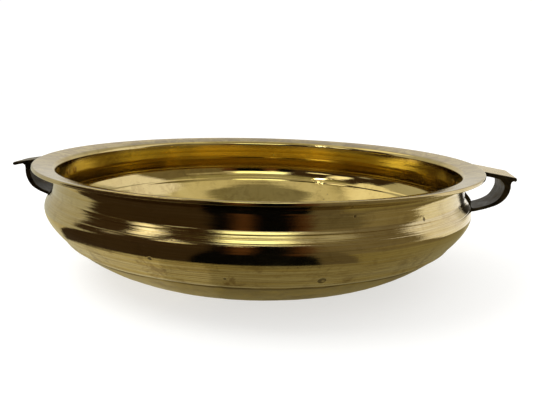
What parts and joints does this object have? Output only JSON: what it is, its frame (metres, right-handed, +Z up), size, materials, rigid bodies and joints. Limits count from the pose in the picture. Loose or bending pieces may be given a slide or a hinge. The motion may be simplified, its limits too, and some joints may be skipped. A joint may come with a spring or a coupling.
{
  "type": "two-handled urli bowl",
  "caption": "Wide shallow cast bowl with a flat out-turned lip, a flared neck, a rounded belly and dark D-shaped side handles riveted under the lip.",
  "frame": {"origin": "centre of the flat base, on the surface that the bowl stands on", "axes": "+X through the right handle, which is the longest extent; +Z up, out of the bowl's mouth, the shortest extent"},
  "size_m": [0.47, 0.406, 0.1005],
  "materials": {
    "polished_brass": "lathe-turned and polished, warm yellow, with fine turning lines, faint handling haze and a duller cast bottom",
    "handle_patina": "unpolished casting with a dark brown-black patina, rubbed bright on top of the tongues",
    "rivet_patina": "hammered rivet with the same dark patina"
  },
  "bodies": {
    "root": {"bowl": "polished_brass", "handle_right": "handle_patina", "handle_left": "handle_patina", "rivet_right_near": "rivet_patina", "rivet_right_far": "rivet_patina", "rivet_left_near": "rivet_patina", "rivet_left_far": "rivet_patina"}
  },
  "joints": []
}
